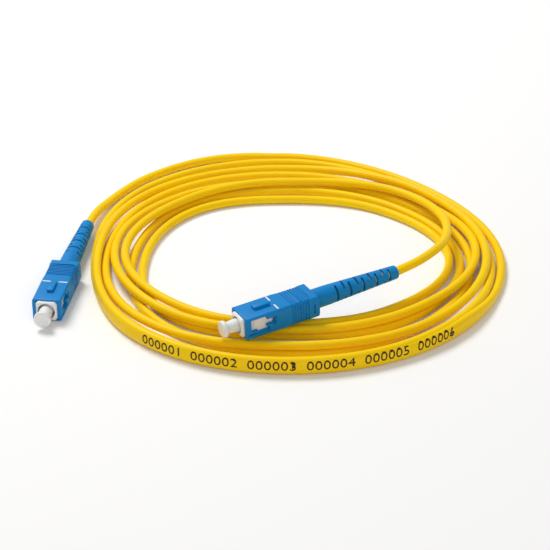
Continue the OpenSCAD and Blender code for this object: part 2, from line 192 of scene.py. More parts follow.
def blend4(a, b, c, d, u):
    """Catmull-Rom value between b and c at u from 0 to 1"""
    return b + 0.5 * u * (c - a + u * (2 * a - 5 * b + 4 * c - d + u * (3 * (b - c) + d - a)))


def knot(knots, i):
    last = len(knots) - 1
    if i < 0:
        return 2 * knots[0] - knots[-i]
    if i > last:
        return 2 * knots[last] - knots[2 * last - i]
    return knots[i]


def curve(knots, t):
    """Value of the smooth curve through knots at t, counted in knots"""
    i = min(int(t), len(knots) - 2)
    return blend4(knot(knots, i - 1), knot(knots, i), knot(knots, i + 1), knot(knots, i + 2), t - i)


def coil_point(t):
    """Centreline of the coil, t loops from its start at the back"""
    cable = bpy.context.scene.patch_cable
    angle = math.radians(90 - 360 * t)
    radius = curve(loop_radii, KNOTS_PER_LOOP * t) * MM
    layer = max(0, min(1, curve(loop_layers, KNOTS_PER_LOOP * t)))
    height = cable.diameter / 2 + cable.layer_pitch * layer
    return coil_centre + Vector((radius * math.cos(angle), radius * math.sin(angle), height))


def smooth_stretch(points):
    lowest = bpy.context.scene.patch_cable.diameter / 2
    count = (len(points) - 1) * STEPS_PER_SPAN
    found = [curve(points, i / STEPS_PER_SPAN) for i in range(count + 1)]
    return [Vector((p.x, p.y, max(p.z, lowest))) for p in found]


def cable_route():
    """Points of the centreline from crimp to crimp, and the coil's t at each, or None"""
    straight = Vector((bpy.context.scene.patch_cable.diameter, 0, 0))
    start, end = coil_point(0), coil_point(coil_loops)
    lead_a = [on_axis("a", CRIMP_FRONT)] + smooth_stretch(
        [on_axis("a", BOOT_REAR)] + [Vector(p) * MM for p in lead_a_points]
        + [start - 2 * straight])
    lead_b = smooth_stretch(
        [end + 2 * straight] + [Vector(p) * MM for p in lead_b_points] + [on_axis("b", BOOT_REAR)])
    lead_b.append(on_axis("b", CRIMP_FRONT))
    turns = [i / STEPS_PER_LOOP for i in range(coil_loops * STEPS_PER_LOOP + 1)]
    points = (lead_a + [start - straight] + [coil_point(t) for t in turns] + [end + straight]
              + lead_b)
    turn_of = [None] * (len(lead_a) + 1) + turns + [None] * (len(lead_b) + 1)
    return points, turn_of


# ---------------------------------------------------------------- modelling helpers

def deselect():
    bpy.ops.object.select_all(action="DESELECT")


def work_on(obj):
    deselect()
    obj.select_set(True)
    bpy.context.view_layer.objects.active = obj


def start_edit(obj, kind="FACE"):
    work_on(obj)
    bpy.ops.object.mode_set(mode="EDIT")
    bpy.ops.mesh.select_mode(type=kind)
    bpy.ops.mesh.select_all(action="DESELECT")


def end_edit():
    bpy.ops.object.mode_set(mode="OBJECT")


def pick(obj, kind, test):
    """In edit mode, selects the verts, edges or faces that pass the test and nothing else"""
    bpy.ops.mesh.select_all(action="DESELECT")
    mesh = bmesh.from_edit_mesh(obj.data)
    for item in getattr(mesh, kind):
        if test(item):
            item.select_set(True)
    mesh.select_flush(True)
    bmesh.update_edit_mesh(obj.data)


def runs_along(edge):
    """Whether an edge runs along the plug"""
    return abs((edge.verts[0].co - edge.verts[1].co).normalized().x) > 0.98


def apply_place():
    bpy.ops.object.transform_apply(location=True, rotation=True, scale=True)


def add_block(name, low, high):
    """A cube primitive at its size and place"""
    low, high = Vector(low), Vector(high)
    deselect()
    bpy.ops.mesh.primitive_cube_add(size=1, location=(low + high) / 2, scale=high - low)
    obj = bpy.context.object
    obj.name = name
    apply_place()
    return obj


def add_turned(name, profile, sides=64, closed=False):
    """A round piece about the X axis, drawn from a ring through each (x, diameter) given"""
    deselect()
    x, diameter = profile[0]
    bpy.ops.mesh.primitive_circle_add(vertices=sides, radius=diameter / 2, location=(x, 0, 0),
                                      rotation=(0, math.pi / 2, 0))
    obj = bpy.context.object
    obj.name = name
    apply_place()
    start_edit(obj, "EDGE")
    bpy.ops.mesh.select_all(action="SELECT")
    if not closed:
        bpy.ops.mesh.edge_face_add()
        bpy.ops.mesh.select_mode(type="EDGE")
    for next_x, next_diameter in profile[1:]:
        bpy.ops.mesh.extrude_edges_move(TRANSFORM_OT_translate={"value": (next_x - x, 0, 0)})
        share = next_diameter / diameter
        bpy.ops.transform.resize(value=(1, share, share), center_override=(next_x, 0, 0))
        x, diameter = next_x, next_diameter
    if closed:
        pick(obj, "edges", lambda edge: edge.is_boundary)
        bpy.ops.mesh.bridge_edge_loops()
    else:
        bpy.ops.mesh.edge_face_add()
    bpy.ops.mesh.select_all(action="SELECT")
    bpy.ops.mesh.normals_make_consistent(inside=False)
    end_edit()
    return obj


def apply_modifier(obj, kind, **settings):
    work_on(obj)
    step = obj.modifiers.new(kind.lower(), kind)
    for name, value in settings.items():
        setattr(step, name, value)
    bpy.ops.object.modifier_apply(modifier=step.name)


def combine(obj, operation, *tools):
    """Cuts the tools out of obj, or welds them to it, and removes them"""
    for tool in tools:
        apply_modifier(obj, "BOOLEAN", operation=operation, solver="EXACT", object=tool)
        bpy.data.objects.remove(tool)


def soften(obj, width, segments=2, angle=35):
    """Rounds the edges that are sharper than the angle, in degrees"""
    apply_modifier(obj, "BEVEL", width=width, segments=segments, limit_method="ANGLE",
                   angle_limit=math.radians(angle), harden_normals=False)


def shade(obj, angle=40):
    work_on(obj)
    bpy.ops.object.shade_smooth_by_angle(angle=math.radians(angle))


def lay_at_plug(model, letter, name, body, material, slot, *nodes):
    """Copies a piece that was modelled in the plug's own frame to where plug a or b lies"""
    piece = model.copy()
    piece.data = model.data.copy()
    piece.name = piece.data.name = name + "_" + letter
    bpy.context.scene.collection.objects.link(piece)
    piece.data.transform(plug_matrix(letter))
    piece.data.materials.clear()
    piece.data.materials.append(material)
    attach(piece, body)
    if nodes:
        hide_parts(*[node + "_" + letter for node in nodes])
    return piece


def lay_at_both(model, name, body, material, slot, *nodes):
    """Lays a copy at each plug, on root or on the plug's own body, and removes the model"""
    for letter in "ab":
        ridden = body if body == "root" else body + "_" + letter
        lay_at_plug(model, letter, name, ridden, material, slot, *nodes)
    bpy.data.objects.remove(model)


# ---------------------------------------------------------------- node groups and materials

def new_group(name, inputs, outputs):
    """An empty shader node group with its named sockets; returns it and its two ends"""
    group = bpy.data.node_groups.new(name, "ShaderNodeTree")
    for label, kind, value in inputs:
        socket = group.interface.new_socket(name=label, in_out="INPUT",
                                            socket_type="NodeSocket" + kind)
        socket.default_value = value
    for label, kind in outputs:
        group.interface.new_socket(name=label, in_out="OUTPUT", socket_type="NodeSocket" + kind)
    entry, result = group.nodes.new("NodeGroupInput"), group.nodes.new("NodeGroupOutput")
    return group, entry.outputs, result.inputs


def feed(tree, socket, value):
    """Links a value that is a socket itself, or sets it"""
    if isinstance(value, bpy.types.NodeSocket):
        tree.links.new(value, socket)
    else:
        socket.default_value = value


def add_noise(tree, vector, scale, detail=3.0, roughness=0.55):
    noise = tree.nodes.new("ShaderNodeTexNoise")
    for label, value in (("Vector", vector), ("Scale", scale), ("Detail", detail),
                         ("Roughness", roughness)):
        feed(tree, noise.inputs[label], value)
    return noise.outputs["Fac"]


def add_remap(tree, value, from_min, from_max, to_min=0.0, to_max=1.0):
    remap = tree.nodes.new("ShaderNodeMapRange")
    for label, given in (("Value", value), ("From Min", from_min), ("From Max", from_max),
                         ("To Min", to_min), ("To Max", to_max)):
        feed(tree, remap.inputs[label], given)
    return remap.outputs["Result"]


def add_mix(tree, share, first, second):
    mix = tree.nodes.new("ShaderNodeMix")
    mix.data_type = "RGBA"
    feed(tree, mix.inputs["Factor"], share)
    for label, colour in (("A", first), ("B", second)):
        feed(tree, next(s for s in mix.inputs if s.name == label and s.type == "RGBA"), colour)
    return next(s for s in mix.outputs if s.type == "RGBA")


def add_math(tree, operation, first, second):
    node = tree.nodes.new("ShaderNodeMath")
    node.operation = operation
    feed(tree, node.inputs[0], first)
    feed(tree, node.inputs[1], second)
    return node.outputs[0]


def moulded_group():
    """Moulded plastic: slow changes of tint, fine grain and slightly uneven gloss"""
    group, given, result = new_group(
        "moulded_surface",
        [("Colour", "Color", (1, 1, 1, 1)), ("Deep colour", "Color", (1, 1, 1, 1)),
         ("Tint scale", "Float", 150.0), ("Grain scale", "Float", 3000.0),
         ("Smoothest", "Float", 0.3), ("Roughest", "Float", 0.5)],
        [("Colour", "Color"), ("Roughness", "Float"), ("Height", "Float")])
    place = group.nodes.new("ShaderNodeTexCoord").outputs["Object"]
    tint = add_noise(group, place, given["Tint scale"], 4)
    group.links.new(add_mix(group, add_remap(group, tint, 0.3, 0.7), given["Colour"],
                            given["Deep colour"]), result["Colour"])
    grain = add_noise(group, place, given["Grain scale"], 2, 0.6)
    patches = add_noise(group, place, given["Tint scale"], 2)
    group.links.new(add_remap(group, patches, 0.3, 0.7, given["Smoothest"], given["Roughest"]),
                    result["Roughness"])
    group.links.new(grain, result["Height"])


def principled(name, specular=0.5, subsurface=0.0, subsurface_depth=0.0, metallic=0.0):
    """A material with its Principled BSDF, whose even values sit on the shader's own sockets"""
    material = bpy.data.materials.new(name)
    material.use_nodes = True
    shader = material.node_tree.nodes["Principled BSDF"]
    shader.inputs["Specular IOR Level"].default_value = specular
    shader.inputs["Subsurface Weight"].default_value = subsurface
    shader.inputs["Subsurface Scale"].default_value = subsurface_depth
    shader.inputs["Metallic"].default_value = metallic
    return material, shader


def add_bump(tree, shader, height, depth):
    bump = tree.nodes.new("ShaderNodeBump")
    bump.inputs["Strength"].default_value = 1.0
    bump.inputs["Distance"].default_value = depth
    tree.links.new(height, bump.inputs["Height"])
    tree.links.new(bump.outputs["Normal"], shader.inputs["Normal"])


def deeper(colour, share):
    return tuple(channel * share for channel in colour) + (1.0,)


def moulded_plastic(name, colour, deep=0.93, tint_scale=150, grain_scale=3000, gloss=(0.35, 0.45),
                    grain_depth=0.004 * MM, **facts):
    material, shader = principled(name, **facts)
    tree = material.node_tree
    surface = tree.nodes.new("ShaderNodeGroup")
    surface.node_tree = bpy.data.node_groups["moulded_surface"]
    surface.inputs["Colour"].default_value = deeper(colour, 1.0)
    surface.inputs["Deep colour"].default_value = deeper(colour, deep)
    surface.inputs["Tint scale"].default_value = tint_scale
    surface.inputs["Grain scale"].default_value = grain_scale
    surface.inputs["Smoothest"].default_value = gloss[0]
    surface.inputs["Roughest"].default_value = gloss[1]
    tree.links.new(surface.outputs["Colour"], shader.inputs["Base Color"])
    tree.links.new(surface.outputs["Roughness"], shader.inputs["Roughness"])
    add_bump(tree, shader, surface.outputs["Height"], grain_depth)
    return material


def jacket_material(colour):
    """Extruded jacket: faint lines drawn out along it, slow changes of tint and a soft gloss"""
    material, shader = principled("jacket_yellow", specular=0.15)
    tree = material.node_tree
    coordinates = tree.nodes.new("ShaderNodeTexCoord")
    stretch = tree.nodes.new("ShaderNodeMapping")
    stretch.inputs["Scale"].default_value = (40, 18, 1)
    tree.links.new(coordinates.outputs["UV"], stretch.inputs["Vector"])
    lines = add_noise(tree, stretch.outputs["Vector"], 1.0, 3)
    tint = add_noise(tree, coordinates.outputs["Object"], 60.0, 3)
    warmer = (colour[0] * 0.98, colour[1] * 0.93, colour[2], 1)
    tree.links.new(add_mix(tree, add_remap(tree, tint, 0.3, 0.7), deeper(colour, 1.0), warmer),
                   shader.inputs["Base Color"])
    tree.links.new(add_remap(tree, lines, 0.3, 0.7, 0.36, 0.46), shader.inputs["Roughness"])
    add_bump(tree, shader, lines, 0.006 * MM)
    return material


def metal_material(name, colour, grain=(900, 900, 900), gloss=(0.15, 0.3)):
    """Plated or drawn metal with fine lines along the grain"""
    material, shader = principled(name, metallic=1.0)
    tree = material.node_tree
    coordinates = tree.nodes.new("ShaderNodeTexCoord")
    stretch = tree.nodes.new("ShaderNodeMapping")
    stretch.inputs["Scale"].default_value = grain
    tree.links.new(coordinates.outputs["Object"], stretch.inputs["Vector"])
    lines = add_noise(tree, stretch.outputs["Vector"], 1.0, 4)
    tree.links.new(add_mix(tree, lines, deeper(colour, 1.0), deeper(colour, 0.85)),
                   shader.inputs["Base Color"])
    tree.links.new(add_remap(tree, lines, 0.3, 0.7, *gloss), shader.inputs["Roughness"])
    add_bump(tree, shader, lines, 0.004 * MM)
    return material


def yarn_material(colour):
    """Fine parallel fibres"""
    material, shader = principled("aramid_fibres", specular=0.3)
    tree = material.node_tree
    coordinates = tree.nodes.new("ShaderNodeTexCoord")
    fibres = tree.nodes.new("ShaderNodeTexWave")
    fibres.bands_direction = "X"
    fibres.inputs["Scale"].default_value = 2200
    fibres.inputs["Distortion"].default_value = 2.5
    tree.links.new(coordinates.outputs["Object"], fibres.inputs["Vector"])
    tree.links.new(add_mix(tree, fibres.outputs["Fac"], deeper(colour, 0.7), deeper(colour, 1.05)),
                   shader.inputs["Base Color"])
    shader.inputs["Roughness"].default_value = 0.6
    add_bump(tree, shader, fibres.outputs["Fac"], 0.03 * MM)
    return material


# ---------------------------------------------------------------- operators

class PatchCordOperator(bpy.types.Operator):
    """Shared by the steps that make one group of pieces"""
    bl_options = {"REGISTER", "UNDO"}


class CORD_OT_cable(PatchCordOperator):
    """Draw the whole cable from crimp to crimp as one jacketed tube"""
    bl_idname = "patchcord.cable"
    bl_label = "Cable"

    sides = 24
    # Along the band the jacket stands taller: where it is full, and where it starts and ends, in
    # loops, and how much of it lies over the strand above
    band_full = (0.36, 0.64)
    band_ends = (0.30, 0.74)
    band_skin = 0.05 * MM

    def rise_at(self, turn, full_rise):
        if turn is None or not self.band_ends[0] < turn < self.band_ends[1]:
            return 0.0
        up = (turn - self.band_ends[0]) / (self.band_full[0] - self.band_ends[0])
        down = (self.band_ends[1] - turn) / (self.band_ends[1] - self.band_full[1])
        share = min(1.0, up, down)
        return full_rise * share * share * (3 - 2 * share)

    def cover_at(self, turn, point, share):
        """How far the band reaches outward, so that the strand above stays within it"""
        if share <= 0:
            return Vector((0, 0, 0)), 0.0
        flat = (point - coil_centre).to_2d()
        above = (coil_point(turn + 1) - coil_centre).to_2d()
        cover = share * max(0.0, above.length - flat.length + self.band_skin)
        return flat.normalized().to_3d(), cover

    def execute(self, context):
        cable = context.scene.patch_cable
        points, turn_of = cable_route()
        radius = cable.diameter / 2
        corners, faces, along = [], [], [0.0]
        for i, point in enumerate(points):
            ahead = points[min(i + 1, len(points) - 1)] - points[max(i - 1, 0)]
            side = ahead.cross(UP).normalized()
            top = side.cross(ahead).normalized()
            rise = self.rise_at(turn_of[i], cable.band_rise)
            outward, cover = self.cover_at(turn_of[i], point, rise / cable.band_rise)
            for k in range(self.sides):
                angle = 2 * math.pi * (k + 0.5) / self.sides
                lift = rise if math.cos(angle) > 0 else 0.0
                spoke = math.sin(angle) * side + math.cos(angle) * top
                corners.append(point + radius * spoke + Vector((0, 0, lift))
                               + outward * cover * max(0.0, spoke.dot(outward)))
            if i > 0:
                along.append(along[-1] + (point - points[i - 1]).length)
        for i in range(len(points) - 1):
            for k in range(self.sides):
                a, b = i * self.sides + k, i * self.sides + (k + 1) % self.sides
                faces.append((a, b, b + self.sides, a + self.sides))
        faces.append(tuple(reversed(range(self.sides))))
        last = (len(points) - 1) * self.sides
        faces.append(tuple(range(last, last + self.sides)))
        mesh = bpy.data.meshes.new("cable")
        mesh.from_pydata(corners, [], faces)
        uv = mesh.uv_layers.new(name="along_jacket")
        for face in mesh.polygons:
            for loop_index in face.loop_indices:
                ring, k = divmod(mesh.loops[loop_index].vertex_index, self.sides)
                closes = k == 0 and face.index % self.sides == self.sides - 1
                turn = self.sides if closes else k
                uv.data[loop_index].uv = (along[ring], turn / self.sides)
        mesh.update()
        piece = bpy.data.objects.new("cable", mesh)
        context.scene.collection.objects.link(piece)
        shade(piece, 60)
        mesh.materials.append(jacket_material(cable.jacket))
        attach(piece, "root")
        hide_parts("cable_lead_a", "cable_coil", "cable_lead_b")
        return {"FINISHED"}


class CORD_OT_grips(PatchCordOperator):
    """Model the grip housing once and lay it at both plugs, with its insertion marks"""
    bl_idname = "patchcord.grips"
    bl_label = "Grip housings"

    # The flare starts ahead of the grooves by the waist. Places count from the grip's front
    waist = 2.4 * MM
    collar_edge = 0.6 * MM
    side_lines = (-2.0 * MM, 1.9 * MM)
    top_tuck, bottom_tuck = 0.3 * MM, 0.2 * MM
    near = 0.01 * MM
    key_front, key_rear, key_width = 4.7 * MM, 10.2 * MM, 1.9 * MM
    key_height, key_sunk = 1 * MM, 0.5 * MM
    # Openings in each side: front and rear, bottom and top, in millimetres
    windows = ((1.8, 7.2, -1.2, 2.8), (7.1, 9.8, -0.3, 1.6), (4.0, 8.0, -1.9, -1.1))
    # Hollows in each side, in the same way, with how much further out each one ends
    hollow_depth = 0.45 * MM
    hollows = (("slit", (0.5, 8.0, -2.3, -1.75), 0), ("latch_hole", (9.0, 10.3, -0.8, 1.9), 0),
               ("collar_slot", (22.9, 23.6, -1.6, 1.4), 0.3))
    mark_front, mark_rear = 11.05 * MM, 11.55 * MM
    mark_inner, mark_outer = 1.25 * MM, 3.95 * MM
    mark_sunk, mark_proud = 0.1 * MM, 0.02 * MM

    def body(self, grip):
        half_w, half_h, end, near = grip.width / 2, grip.height / 2, grip.length, self.near
        collar_front = end - grip.collar
        groove_front = collar_front - grip.grooves * grip.groove_pitch
        obj = add_block("grip", (0, -half_w, -half_h), (end, half_w, half_h))
        start_edit(obj)
        for x in (groove_front - self.waist, groove_front, collar_front,
                  collar_front + self.collar_edge):
            bpy.ops.mesh.select_all(action="SELECT")
            bpy.ops.mesh.bisect(plane_co=(x, 0, 0), plane_no=(1, 0, 0))
        for z in self.side_lines:
            bpy.ops.mesh.select_all(action="SELECT")
            bpy.ops.mesh.bisect(plane_co=(0, 0, z), plane_no=(0, 0, 1))

        def shift_rear(sign, outward, test):
            pick(obj, "verts", lambda v: v.co.y * sign > 0 and v.co.x > groove_front - near
                 and test(v.co))
            bpy.ops.transform.translate(value=(0, sign * outward, 0))

        for sign in (-1, 1):
            shift_rear(sign, grip.flare, lambda co: abs(co.z) < half_h - near)
            shift_rear(sign, -self.top_tuck,
                       lambda co: co.z > half_h - near and co.x < collar_front + near)
            shift_rear(sign, -self.bottom_tuck, lambda co: co.z < near - half_h)

        def long_corner(edge):
            return runs_along(edge) and all(abs(v.co.z) > half_h - near
                                            and abs(v.co.y) > half_w / 2 for v in edge.verts)

        pick(obj, "edges", long_corner)
        bpy.ops.mesh.bevel(offset=grip.corner, segments=4, affect="EDGES")
        end_edit()
        soften(obj, 0.15 * MM, 2, 60)
        return obj

    def groove_cutter(self, grip, x):
        """A frame-shaped slab, open over the floor of one groove"""
        depth, width = grip.groove_depth, grip.groove_pitch / 2
        reach = 2 * MM
        slab = add_block("groove", (x, -grip.width / 2 - reach, -grip.height / 2 - reach),
                         (x + width, grip.width / 2 + reach, grip.height / 2 + reach))
        floor = self.body(grip)
        floor.data.transform(Matrix.Diagonal((1, 1 - 2 * depth / (grip.width + 2 * grip.flare),
                                              1 - 2 * depth / grip.height, 1)))
        combine(slab, "DIFFERENCE", floor)
        return slab

    def execute(self, context):
        grip = context.scene.patch_grip
        obj = self.body(grip)
        half_w, half_h = grip.width / 2, grip.height / 2
        key = add_block("key", (self.key_front, -self.key_width / 2, half_h - self.key_sunk),
                        (self.key_rear, self.key_width / 2, half_h + self.key_height))
        soften(key, 0.12 * MM, 2)
        combine(obj, "UNION", key)
        front = grip.length - grip.collar - grip.grooves * grip.groove_pitch
        for i in range(grip.grooves):
            combine(obj, "DIFFERENCE", self.groove_cutter(grip, front + i * grip.groove_pitch))
        past = 1 * MM
        cutters = [add_block("bore", (-past, -grip.bore_width / 2, -grip.bore_height / 2),
                             (grip.length + past, grip.bore_width / 2, grip.bore_height / 2))]
        reach = grip.width
        for low_x, high_x, low_z, high_z in self.windows:
            cutters.append(add_block("window", (low_x * MM, -reach, low_z * MM),
                                     (high_x * MM, reach, high_z * MM)))
        combine(obj, "DIFFERENCE", *cutters)
        for side in (-1, 1):
            low_y, high_y = sorted((side * reach, side * (half_w - self.hollow_depth)))
            for name, (low_x, high_x, low_z, high_z), further in self.hollows:
                out = further * side
                combine(obj, "DIFFERENCE",
                        add_block(name, (low_x * MM, low_y + out * MM, low_z * MM),
                                  (high_x * MM, high_y + out * MM, high_z * MM)))
        soften(obj, 0.05 * MM, 1, 50)
        shade(obj, 35)
        lay_at_both(obj, "grip_housing", "grip", bpy.data.materials["grip_blue"], "grip_plastic",
                    "grip_housing")
        self.marks(grip)
        return {"FINISHED"}

    def marks(self, grip):
        """Two white bars across the top, one at each side of the key"""
        level = grip.height / 2
        bars = []
        for side in (-1, 1):
            low, high = sorted((side * self.mark_inner, side * self.mark_outer))
            bars.append(add_block("mark", (self.mark_front, low, level - self.mark_sunk),
                                  (self.mark_rear, high, level + self.mark_proud)))
        work_on(bars[0])
        bars[1].select_set(True)
        bpy.ops.object.join()
        soften(bars[0], 0.015 * MM, 1)
        lay_at_both(bars[0], "insertion_marks", "grip", bpy.data.materials["mark_white"],
                    "frame_plastic")


class CORD_OT_frames(PatchCordOperator):
    """Model the plug frame once and lay it at both plugs"""
    bl_idname = "patchcord.frames"
    bl_label = "Plug frames"

    # The bore from the mouth back: how deep each part ends, and the widths behind the mouth
    mouth_depth, wall_depth = 6 * MM, 7.2 * MM
    ferrule_bore, spring_bore = 2.66 * MM, 4.78 * MM
    # Recesses in each side: front and rear, bottom and top, and depth, in millimetres
    recesses = ((2.0, 3.3, -1.4, 3.0, 0.25), (9.4, 10.4, -1.1, 2.2, 0.5))

    def execute(self, context):
        plug = context.scene.patch_frame
        half_w, half_h = plug.width / 2, plug.height / 2
        front, rear = -plug.proud, plug.length - plug.proud
        obj = add_block("frame", (front, -half_w, -half_h), (rear, half_w, half_h))
        start_edit(obj)
        pick(obj, "edges", runs_along)
        bpy.ops.mesh.bevel(offset=plug.chamfer, offset_type="WIDTH", segments=1, affect="EDGES")
        end_edit()
        soften(obj, 0.2 * MM, 3, 30)
        past, wall, seat = 1 * MM, front + self.mouth_depth, front + self.wall_depth
        bore = add_turned("bore", [(front - past, plug.mouth), (wall, plug.mouth),
                                   (wall, self.ferrule_bore), (seat, self.ferrule_bore),
                                   (seat, self.spring_bore), (rear + past, self.spring_bore)])
        recesses = []
        for side in (-1, 1):
            for low_x, high_x, low_z, high_z, depth in self.recesses:
                low_y, high_y = sorted((side * (half_w - depth * MM), side * (half_w + past)))
                recesses.append(add_block("recess", (low_x * MM, low_y, low_z * MM),
                                          (high_x * MM, high_y, high_z * MM)))
        combine(obj, "DIFFERENCE", bore, *recesses)
        soften(obj, 0.06 * MM, 2, 50)
        shade(obj, 35)
        lay_at_both(obj, "plug_frame", "root", bpy.data.materials["frame_white"], "frame_plastic",
                    "plug_frame")
        return {"FINISHED"}


class CORD_OT_caps(PatchCordOperator):
    """Model the dust cap once and lay it at both plugs"""
    bl_idname = "patchcord.caps"
    bl_label = "Dust caps"

    # The head from its closed end: millimetres back, and share of the head's diameter
    head = ((0.12, 0.4), (0, 0.80), (0, 0.86), (0.25, 0.97), (0.5, 1), (1.0, 1), (1.3, 0.94),
            (1.42, 0.80))
    # The neck behind it: millimetres back, and diameter in millimetres
    neck = ((1.7, 3.7), (2.3, 3.66), (3.2, 3.85), (4.2, 4.08))
    # The sleeve over the ferrule, from the grip's front
    sleeve, sleeve_end, sleeve_edge = 4.1 * MM, 3.2 * MM, 0.2 * MM
    bore, bore_floor = 2.58 * MM, -1.4 * MM

    def execute(self, context):
        plug = context.scene.patch_frame
        front = -plug.proud - plug.cap_reach
        profile = [(front + back * MM, share * plug.cap_head) for back, share in self.head]
        profile += [(front + back * MM, wide * MM) for back, wide in self.neck]
        profile += [(self.sleeve_end - self.sleeve_edge, self.sleeve),
                    (self.sleeve_end, self.sleeve - self.sleeve_edge),
                    (self.sleeve_end, self.bore), (self.bore_floor, self.bore)]
        obj = add_turned("cap", profile)
        shade(obj, 50)
        lay_at_both(obj, "dust_cap", "cap", bpy.data.materials["cap_milky"], "cap_plastic",
                    "dust_cap")
        return {"FINISHED"}


class CORD_OT_boots(PatchCordOperator):
    """Model the slotted boot once and lay it at both plugs"""
    bl_idname = "patchcord.boots"
    bl_label = "Boots"

    # Pairs of slots lie opposite each other, and a pair turned a quarter lies between the next two
    slot_span = 128
    slot_pairs = 5
    slot_inner = 1.45 * MM
    first_slot = 32.6 * MM
    between = 0.3 * MM
    # How far the first slot is turned from the top, towards the right of the plug, in degrees
    slot_turn = {"a": 48, "b": 24}
    front = 18.8 * MM
    socket, socket_end = 5.1 * MM, 28.0 * MM
    cable_bore = 3.0 * MM
    lip = 0.5 * MM

    def slot_cutter(self, boot, x, middle):
        """A sector from the boot's bore out; middle is its angle from the top"""
        inner, outer = self.slot_inner, boot.diameter
        deselect()
        bpy.ops.mesh.primitive_plane_add(size=1, location=(0, 0, 0))
        obj = bpy.context.object
        obj.name = "slot"
        obj.data.transform(Matrix.Diagonal((boot.slot_length, outer - inner, 1, 1)))
        obj.data.transform(Matrix.Rotation(math.radians(90), 4, "X"))
        obj.data.transform(Matrix.Translation((x, 0, (inner + outer) / 2)))
        obj.data.transform(Matrix.Rotation(math.radians(middle - self.slot_span / 2), 4, "X"))
        start_edit(obj)
        bpy.ops.mesh.select_all(action="SELECT")
        bpy.ops.mesh.spin(steps=24, angle=math.radians(self.slot_span), center=(0, 0, 0),
                          axis=(1, 0, 0))
        bpy.ops.mesh.select_all(action="SELECT")
        bpy.ops.mesh.remove_doubles(threshold=0.0001 * MM)
        bpy.ops.mesh.normals_make_consistent(inside=False)
        end_edit()
        return obj

    def execute(self, context):
        boot, grip = context.scene.patch_boot, context.scene.patch_grip
        front, lip = self.front, self.lip
        shank_end, rear = grip.length + boot.shank, grip.length + boot.reach

        def taper(x):
            return boot.diameter + (boot.tip - boot.diameter) * (x - shank_end) / (rear - shank_end)

        rounding = [(rear - lip * (1 - math.sin(a)),
                     taper(rear - lip) - 2 * lip * (1 - math.cos(a)) * 0.8)
                    for a in (math.radians(18 * i) for i in range(6))]
        outside = [(front, boot.diameter), (shank_end - 1 * MM, boot.diameter),
                   (shank_end, boot.diameter * 0.995),
                   (shank_end + 1.5 * MM, taper(shank_end + 1.5 * MM))]
        outside += [(x * MM, taper(x * MM)) for x in range(34, 54, 3)]
        inside = [(rear, self.cable_bore), (self.socket_end, self.cable_bore),
                  (self.socket_end, self.socket), (front, self.socket)]
        obj = add_turned("boot", outside + rounding + inside, 72, closed=True)
        for letter in "ab":
            copy = obj.copy()
            copy.data = obj.data.copy()
            context.scene.collection.objects.link(copy)
            turn = self.slot_turn[letter]
            for i in range(self.slot_pairs):
                x = self.first_slot + i * boot.slot_pitch
                next_x = x + boot.slot_pitch / 2 + self.between
                for opposite in (0, 180):
                    combine(copy, "DIFFERENCE", self.slot_cutter(boot, x, turn + opposite))
                    if i < self.slot_pairs - 1:
                        combine(copy, "DIFFERENCE",
                                self.slot_cutter(boot, next_x, turn + 90 + opposite))
            soften(copy, 0.06 * MM, 2, 50)
            shade(copy, 35)
            lay_at_plug(copy, letter, "boot", "root", bpy.data.materials["boot_blue"],
                        "boot_plastic", "boot")
            bpy.data.objects.remove(copy)
        bpy.data.objects.remove(obj)
        return {"FINISHED"}


class CORD_OT_numbers(PatchCordOperator):
    """Print plain numbers along the front of the coil"""
    bl_idname = "patchcord.numbers"
    bl_label = "Printed numbers"

    # Where the print runs on the coil, in loops, and its middle and height on the jacket
    first_turn = 0.6125
    last_turn = 0.372
    middle = 3.4 * MM
    height = 2.9 * MM
    ink_thickness = 0.04 * MM

    # The print is laid out clear of the band and then pressed onto it; cuts let it bend
    stand_off = 4 * MM
    cuts = 10

    def execute(self, context):
        cable = context.scene.patch_cable
        deselect()
        bpy.ops.object.text_add(location=(0, 0, 0))
        text = context.object
        text.name = "printed_numbers"
        text.data.body = cable.marks
        text.data.space_character = 1.05
        text.data.space_word = 1.9
        bpy.ops.object.convert(target="MESH")
        obj = context.object
        places = [v.co for v in obj.data.vertices]
        low_x, high_x = min(p.x for p in places), max(p.x for p in places)
        low_y, high_y = min(p.y for p in places), max(p.y for p in places)
        bpy.ops.object.mode_set(mode="EDIT")
        for k in range(1, self.cuts):
            bpy.ops.mesh.select_all(action="SELECT")
            level = low_y + (high_y - low_y) * k / self.cuts
            bpy.ops.mesh.bisect(plane_co=(0, level, 0), plane_no=(0, 1, 0))
        bpy.ops.object.mode_set(mode="OBJECT")
        for vertex in obj.data.vertices:
            share = (vertex.co.x - low_x) / (high_x - low_x)
            turn = self.first_turn + share * (self.last_turn - self.first_turn)
            z = self.middle + ((vertex.co.y - low_y) / (high_y - low_y) - 0.5) * self.height
            flat = (coil_point(turn) - coil_centre).to_2d()
            spot = coil_centre.to_2d() + flat.normalized() * (flat.length + self.stand_off)
            vertex.co = Vector((spot.x, spot.y, z))
        obj.data.update()
        onto = {"target": bpy.data.objects["cable"], "wrap_mode": "ABOVE_SURFACE",
                "offset": self.ink_thickness}
        apply_modifier(obj, "SHRINKWRAP", wrap_method="PROJECT", use_negative_direction=True,
                       use_positive_direction=False, **onto)
        apply_modifier(obj, "SHRINKWRAP", wrap_method="NEAREST_SURFACEPOINT", **onto)
        apply_modifier(obj, "SOLIDIFY", thickness=self.ink_thickness)
        obj.data.materials.append(bpy.data.materials["print_ink"])
        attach(obj, "root")
        return {"FINISHED"}


